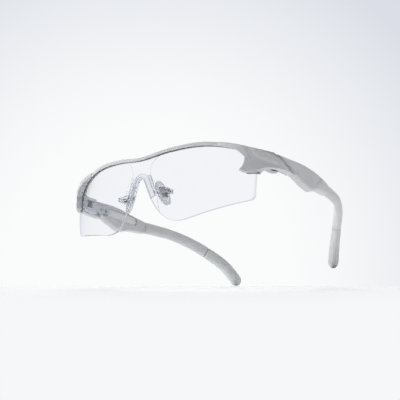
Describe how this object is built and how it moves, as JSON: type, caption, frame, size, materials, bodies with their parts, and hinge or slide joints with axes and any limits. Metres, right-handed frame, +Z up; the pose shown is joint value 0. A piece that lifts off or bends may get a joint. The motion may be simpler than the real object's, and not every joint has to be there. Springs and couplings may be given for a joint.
{
  "type": "sports glasses",
  "caption": "Half-rim wrap sports glasses: a clear one-piece lens under a slim white brow bar, folding temples with soft tips, and nose pads that rock on pins.",
  "frame": {"origin": "centre of the overall box in X and Y, at the height of the lens's two lowest points and of the ear tips' ends, on which the glasses rest", "axes": "+X towards the wearer's left, +Y from the lens back to the ears, +Z up"},
  "size_m": [0.1338, 0.1488, 0.0417],
  "materials": {
    "white_plastic": "moulded white plastic, satin gloss",
    "clear_lens": "polished clear lens with a faint violet-grey tint",
    "clear_carrier": "clear moulded plastic",
    "pad_silicone": "translucent grey-green silicone, fine matt skin",
    "tip_rubber": "pale grey-green soft rubber, matt",
    "soft_inlay": "pale grey soft-touch rubber, matt",
    "dark_steel": "darkened steel strip",
    "steel": "bare steel, turned and stamped"
  },
  "bodies": {
    "front": {"brow_frame": "white_plastic", "shield_lens": "clear_lens", "nose_bridge": "clear_carrier", "pad_arm_left": "clear_carrier", "pad_arm_right": "clear_carrier", "pad_pins": "steel", "hinge_bracket_left": "steel", "hinge_bracket_right": "steel", "bracket_screws": "steel", "hinge_pin_left": "steel", "hinge_pin_right": "steel"},
    "pad_left": {"pad_core_left": "dark_steel", "nose_pad_left": "pad_silicone"},
    "pad_right": {"pad_core_right": "dark_steel", "nose_pad_right": "pad_silicone"},
    "temple_left": {"temple_knuckle_left": "steel", "knuckle_screws_left": "steel", "temple_shell_left": "white_plastic", "temple_inlay_left": "soft_inlay", "ear_stem_left": "white_plastic", "stem_core_left": "steel", "ear_tip_left": "tip_rubber"},
    "temple_right": {"temple_knuckle_right": "steel", "knuckle_screws_right": "steel", "temple_shell_right": "white_plastic", "temple_inlay_right": "soft_inlay", "ear_stem_right": "white_plastic", "stem_core_right": "steel", "ear_tip_right": "tip_rubber"}
  },
  "joints": [
    {"name": "fold_left", "type": "hinge", "parent": "front", "child": "temple_left", "pos_m": [0.06, -0.03731, 0.0302], "axis": [0, 0, 1], "range_deg": [0, 80]},
    {"name": "fold_right", "type": "hinge", "parent": "front", "child": "temple_right", "pos_m": [-0.06, -0.03731, 0.0302], "axis": [0, 0, -1], "range_deg": [0, 68]},
    {"name": "pad_rock_left", "type": "hinge", "parent": "front", "child": "pad_left", "pos_m": [0.0137, -0.0675, 0.0175], "axis": [0, 1, 0], "range_deg": [-8, 8]},
    {"name": "pad_rock_right", "type": "hinge", "parent": "front", "child": "pad_right", "pos_m": [-0.0137, -0.0675, 0.0175], "axis": [0, 1, 0], "range_deg": [-8, 8]}
  ]
}
